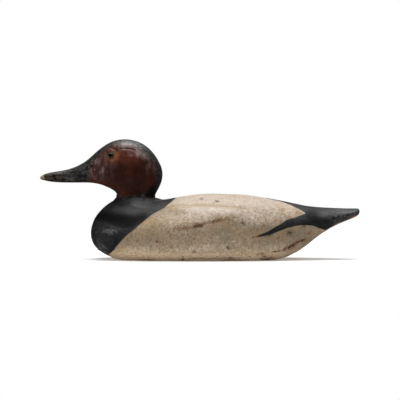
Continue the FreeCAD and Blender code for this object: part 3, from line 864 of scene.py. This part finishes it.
# How far the flat rims are moved on before the meshes are smoothed, and a height over the whole decoy.
RIM_REACH = 6
OVER_ALL = 200


def with_rim(points, edge, by):
    """Points with the flat rim at a height moved on up or down the slope of the hull, so that smoothing
    leaves the real edge crisp."""
    moved = points.copy()
    rim = np.abs(points[:, 2] - edge) < 0.05
    moved[rim, 2] += by
    moved[rim, 0] += by * np.interp(points[rim, 0], *np.transpose(HULL_LEAN))
    return moved


def wooden_shell():
    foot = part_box("body_shell")[0].z / MM
    shell = remeshed("body_shell", "painted_shell", SHELL_VOXEL, SHELL_PASSES,
                     stretch=lambda p: with_rim(p, foot, -RIM_REACH))
    carve(shell, body_form)
    trimmed(shell, foot, OVER_ALL)
    dress_body(shell)
    finish_piece(shell, "decoy", "body_paint", body_paint, "body_shell")


def wooden_board():
    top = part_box("bottom_board")[1].z / MM
    board = remeshed("bottom_board", "painted_board", BOARD_VOXEL, BOARD_PASSES,
                     stretch=lambda p: with_rim(p, top, RIM_REACH), hold=lambda p: ease(p[:, 2], 1.5, 0.2))
    carve(board, body_form)
    trimmed(board, 0, top)
    dress_body(board)
    finish_piece(board, "decoy", "bottom_paint", body_paint, "bottom_board")


def painted_seam():
    """The sealant between shell and board, painted over with them."""
    seam = applied(copy_of("seam_sealant", "painted_seam"), "SUBSURF", subdivision_type="SIMPLE", levels=2)
    dress_body(seam)
    finish_piece(seam, "decoy", "seam_sealant", body_paint, "seam_sealant")


def finish_piece(piece, body, slot, material, *nodes):
    piece.data.materials.clear()
    piece.data.materials.append(material)
    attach(piece, body)
    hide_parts(*nodes)


# Pieces of the head.

# Patches: (x, z, half its width, half its height, strength). Paint round the eye, dust, haze that also paints
# a highlight, and a chip.
ORANGE_PAINT = [(-110.6, 136.6, 6.27, 5.89, 1), (-114.6, 131.6, 6.27, 2.85, 1)]
DUSTED = [(-135.5, 121.8, 15.6, 13, 1.05), (-64, 130, 9, 17.1, 0.4)]
HAZE_HIGHLIGHT_PATCHES = [(-106, 150, 14.4, 6, 0.4), (-89, 139, 14.4, 6, 0.36), (-74, 131, 8.4, 6, 0.2)]
NECK_CHIP = [(-104, 83.4, 5.2, 2, 0.5)]

# Chips: (x, z, radius), and fine level scratches on the cheek: (line, width, strength).
HEAD_CHIPS = [
    (-141.3, 130.6, 1.3), (-138, 118.4, 1.0), (-96, 154.8, 1.2), (-176, 103.4, 0.9), (-186, 103.2, 0.8),
    (-168, 103.6, 0.8), (-193, 105, 0.7),
]
NEAR_SCRATCHES = [
    ([(-100 + k, z), (-94, z + 0.2), (-87 - k / 2, z - 0.2)], 0.45, 0.5)
    for k, z in ((2, 117.4), (0, 114.2), (3, 111), (1, 107.8), (0, 104.8), (4, 102.2))
]


def eye_gap(points):
    """Distance from the middle of the nearer eye, seen from the side."""
    return np.hypot(points[:, 0] - EYE[0], points[:, 2] - EYE[1])


def nostrils(points, radius):
    """1 at the nostrils, on the sides of the bill alone."""
    x, y, z = points.T
    return bump(np.hypot(x - NOSTRIL[0], z - NOSTRIL[1]), radius) * ease(np.abs(y), 2, 6)


def head_form(points):
    """Carving that the plain form doesn't have, as a height over it."""
    x, _, z = points.T
    above, along = beside(points, BROW)
    around = eye_gap(points)
    height = worn_wood(points, 0.45)
    height += fade(along, 0.2, 0.75) * (1.0 * bump(above - 3.2, 3) - 0.7 * bump(above + 0.9, 1.5))
    height += 0.45 * ease(x, -150, -138) * ease(z, 82, 90) * ease(around, 8, 13)
    height -= 0.55 * bump(line_gap(points, MOUTH), 0.65)
    height -= 1.7 * nostrils(points, 1.4)
    height -= 0.5 * bump(around - 10.5, 3.2)
    height += 0.35 * bump(around - 7.2, 1.2)
    return height - 0.25 * spots(points, HEAD_CHIPS)


def hazed_and_highlit(points, face):
    """Light haze, also a painted highlight, on the crown, along the black's edge behind it, and in patches.
    """
    x, _, z = points.T
    gap, along = line_distance(points[:, [0, 2]], curve_through(HAZE_HIGHLIGHT_LINE))
    top = bump(gap, 3.0) * (0.95 - 0.75 * along) * ease(along, 0, 0.15)
    behind = 0.26 * bump(face, 6) * ease(x, -112, -92) * ease(z, 100, 126)
    return (top + behind + patches(points, HAZE_HIGHLIGHT_PATCHES)) * (0.9 + 0.3 * blobs(points, 6, 53))


def head_bare(points):
    """Bare wood at the tip of the bill, along its lip, at the neck and in chips."""
    tip = 1.1 * ease(points[:, 0], -202.5, -206.5)
    lip = 0.5 * bump(line_gap(points, MOUTH) + 0.4, 1.3)
    return np.max([tip, lip, patches(points, NECK_CHIP), spots(points, HEAD_CHIPS)], axis=0)


def dress_head(piece):
    """What the paint on the head needs to know of each point."""
    points, normals = read(piece)
    x, _, z = points.T
    face = paint_edge(points, normals, curve_through(FACE_EDGE))
    store(piece, "face", face * (1 - 0.7 * ease(x, -84, -72)))
    store(piece, "orange", patches(points, ORANGE_PAINT, join=np.max))
    store(piece, "dusty", np.clip(patches(points, DUSTED) * (0.8 + 0.4 * blobs(points, 5, 51)), 0, 1))
    # Haze on the crown, which also paints its highlight.
    store(piece, "haze_and_highlight", hazed_and_highlit(points, face))
    jaw = 0.5 * bump(line_gap(points, JAW), 6)
    store(piece, "rosy", jaw + 0.75 * ease(z, 118, 133) * ease(x, -132, -116) * ease(x, -70, -84))
    store(piece, "scratch", either_side(points, streaks(points, NEAR_SCRATCHES), 0))
    low_front = ease(-(x - EYE[0]) - (z - EYE[1]), -2, 6)
    store(piece, "lid", (0.15 + 0.5 * low_front) * bump(eye_gap(points) - 5.4, 1.2))
    # Near black painted as shade at the nape, under the head's overhang.
    store(piece, "nape_shade", 0.95 * ease(x, -76, -62) * ease(z, 114, 100))
    store(piece, "bare", head_bare(points))
    lip_stain = 0.35 * bump((z - 103.2) / 0.8, 2) * ease(x, -150, -170)
    store(piece, "stain", bump((x + 200.5) / 1.2, 2.6) + lip_stain)
    store(piece, "mouth", bump(line_gap(points, MOUTH), 1.1))
    # The nostrils and the brow crease, painted near black as shade.
    above, along = beside(points, BROW)
    crease = 0.5 * bump(above, 0.8) * fade(along, 0.2, 0.75)
    store(piece, "pit", np.maximum(nostrils(points, 1.8), crease))


def wooden_head():
    head = remeshed("head", "painted_head", HEAD_VOXEL, HEAD_PASSES, hold=lambda p: ease(eye_gap(p), 9, 6))
    carve(head, head_form)
    dress_head(head)
    finish_piece(head, "decoy", "head_paint", head_paint, "head")


def putty_beds():
    """The filler round the neck and the eyes, pressed in by thumb and painted over."""
    for node, voxel in (("neck_putty", 0.4), ("eye_putty_left", 0.28), ("eye_putty_right", 0.28)):
        bed = remeshed(node, "painted_" + node, voxel, 4)
        carve(bed, lambda p: 0.16 * rough(p, 3.2, 61, 2) - 0.05)
        dress_head(bed)
        finish_piece(bed, "decoy", "putty", head_paint, node)


# Metal, and the nodes that keep their CAD shape.


def hammered(node, name, voxel, passes, lumps, depth, body, slot, material):
    piece = remeshed(node, name, voxel, passes)
    carve(piece, lambda p: depth * rough(p, lumps, 71))
    finish_piece(piece, body, slot, material, node)


def metal_pieces():
    hammered("ballast_pad", "lead_pad", 0.65, 3, 7, 0.22, "decoy", "lead", lead)
    hammered("line_staple", "rusty_staple", 0.22, 3, 1.8, 0.07, "decoy", "rusty_steel", steel)
    hammered("line_ring", "rusty_ring", 0.28, 4, 2.2, 0.09, "ring", "rusty_steel", steel)


def cad_looks():
    """Nodes whose CAD shape is right take their material only."""
    looks = {
        steel: ["board_nails", "neck_nails", "eye_stem_left", "eye_stem_right"],
        brass: ["ballast_screws"],
        dowel_wood: ["neck_dowel"],
        glass: ["eye_glass_left", "eye_glass_right"],
        enamel: ["eye_iris_left", "eye_iris_right"],
        jet: ["eye_pupil_left", "eye_pupil_right"],
    }
    for material, nodes in looks.items():
        for node in nodes:
            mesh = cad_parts[node].data
            mesh.materials.clear()
            mesh.materials.append(material)


# The studio.

VIEW_WIDTH = 528.0
VIEW_CENTRE = (0.3, 78.0)
CAMERA_DISTANCE = 3000.0
CAMERA_ELEVATION = math.radians(1.0)
SENSOR = 36.0

# The suns: name, strength, turns about X and Y and width in degrees, and whether each adds shine and shading.
SUNS = [
    ("key", 1.0, (-12, 5), 18, True, True),
    ("overhead", 2.1, (20, 0), 70, False, True),
    ("sheen", 1.1, (-24, 14), 50, True, False),
    ("bill_side", 1.0, (0, -60), 60, False, True),
    ("rear_fill", 0.35, (-62, 0), 60, False, True),
]
BACKDROP_STRENGTH = 1.0
ROOM_STRENGTH = 0.02

# The table is small, in metres, so that what faces the camera reflects the dark studio beyond its front edge.
TABLE_WIDTH = 2.4
TABLE_DEPTH = 1.8
TABLE_FRONT = 0.7
TABLE_TOP = -0.0001


def camera():
    data = bpy.data.cameras.new("camera")
    data.sensor_width = SENSOR
    data.lens = SENSOR * CAMERA_DISTANCE / VIEW_WIDTH
    data.clip_end = 100
    made = bpy.data.objects.new("camera", data)
    rise, back = math.sin(CAMERA_ELEVATION), math.cos(CAMERA_ELEVATION)
    x, z = VIEW_CENTRE
    made.location = (x * MM, -CAMERA_DISTANCE * back * MM, (z + CAMERA_DISTANCE * rise) * MM)
    made.rotation_euler = (math.pi / 2 - CAMERA_ELEVATION, 0, 0)
    bpy.context.scene.collection.objects.link(made)
    bpy.context.scene.camera = made


def sun(name, strength, turns, width, shine, shading):
    data = bpy.data.lights.new(name, "SUN")
    data.energy = strength
    data.angle = math.radians(width)
    made = bpy.data.objects.new(name, data)
    made.rotation_euler = [math.radians(a) for a in (*turns, 0)]
    made.visible_glossy = shine
    made.visible_diffuse = shading
    bpy.context.scene.collection.objects.link(made)


def backdrop():
    """A white that only the camera sees. It lights the scene little."""
    world = bpy.data.worlds.new("studio")
    world.use_nodes = True
    tree = world.node_tree
    light_path = tree.nodes.new("ShaderNodeLightPath")
    strength = tree.nodes.new("ShaderNodeMapRange")
    tree.links.new(light_path.outputs["Is Camera Ray"], strength.inputs["Value"])
    strength.inputs["To Min"].default_value = ROOM_STRENGTH
    strength.inputs["To Max"].default_value = BACKDROP_STRENGTH
    background = tree.nodes["Background"]
    background.inputs["Color"].default_value = (1, 1, 1, 1)
    tree.links.new(strength.outputs["Result"], background.inputs["Strength"])
    bpy.context.scene.world = world
    bpy.context.scene.view_settings.view_transform = "Standard"


def table():
    bpy.ops.mesh.primitive_plane_add(size=1, location=(0, TABLE_DEPTH / 2 - TABLE_FRONT, TABLE_TOP))
    floor = bpy.context.object
    floor.name = "studio_table"
    floor.scale = (TABLE_WIDTH, TABLE_DEPTH, 1)
    coat = Coat("studio_table")
    coat.set(Base_Color=(0.94, 0.94, 0.94, 1), Roughness=0.9, Specular_IOR_Level=0.0)
    coat.set(Emission_Color=(1, 1, 1, 1), Emission_Strength=0.22)
    floor.data.materials.append(coat.material)
    floor.visible_glossy = False


# The build.

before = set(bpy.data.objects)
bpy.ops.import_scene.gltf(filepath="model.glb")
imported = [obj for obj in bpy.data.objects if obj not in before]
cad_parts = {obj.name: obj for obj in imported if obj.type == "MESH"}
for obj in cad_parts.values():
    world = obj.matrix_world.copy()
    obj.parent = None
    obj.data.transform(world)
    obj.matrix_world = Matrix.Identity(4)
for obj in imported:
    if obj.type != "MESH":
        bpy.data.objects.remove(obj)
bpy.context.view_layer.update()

body_paint = body_coat()
head_paint = head_coat()
lead = metal_coat("oxidised_lead", clean=srgb(104, 104, 110), stained=srgb(178, 174, 164),
                  deep=srgb(62, 62, 66), shine=0.45, metallic=0.6)
steel = metal_coat("rusty_steel", clean=srgb(92, 78, 70), stained=srgb(112, 62, 34),
                   deep=srgb(58, 36, 24), shine=0.55, metallic=0.45)
brass = metal_coat("tarnished_brass", clean=srgb(150, 118, 62), stained=srgb(92, 84, 52),
                   deep=srgb(70, 56, 34), shine=0.35, metallic=0.9)
dowel_wood = plain_coat("dowel_wood", light=srgb(196, 160, 116), dark=srgb(164, 124, 84),
                        size=3, roughness=0.6, depth=0.1, stretch=(1, 1, 0.08))
enamel = plain_coat("eye_enamel", light=srgb(150, 134, 88), dark=srgb(62, 50, 28),
                    size=2.6, roughness=0.3, depth=0.02)
jet = plain_coat("eye_pupil", light=srgb(16, 15, 12), dark=srgb(10, 9, 8), size=1, roughness=0.2, depth=0.01)
glass = glass_coat()

wooden_shell()
wooden_board()
painted_seam()
wooden_head()
putty_beds()
metal_pieces()
cad_looks()
for settings in SUNS:
    sun(*settings)
backdrop()
table()
camera()
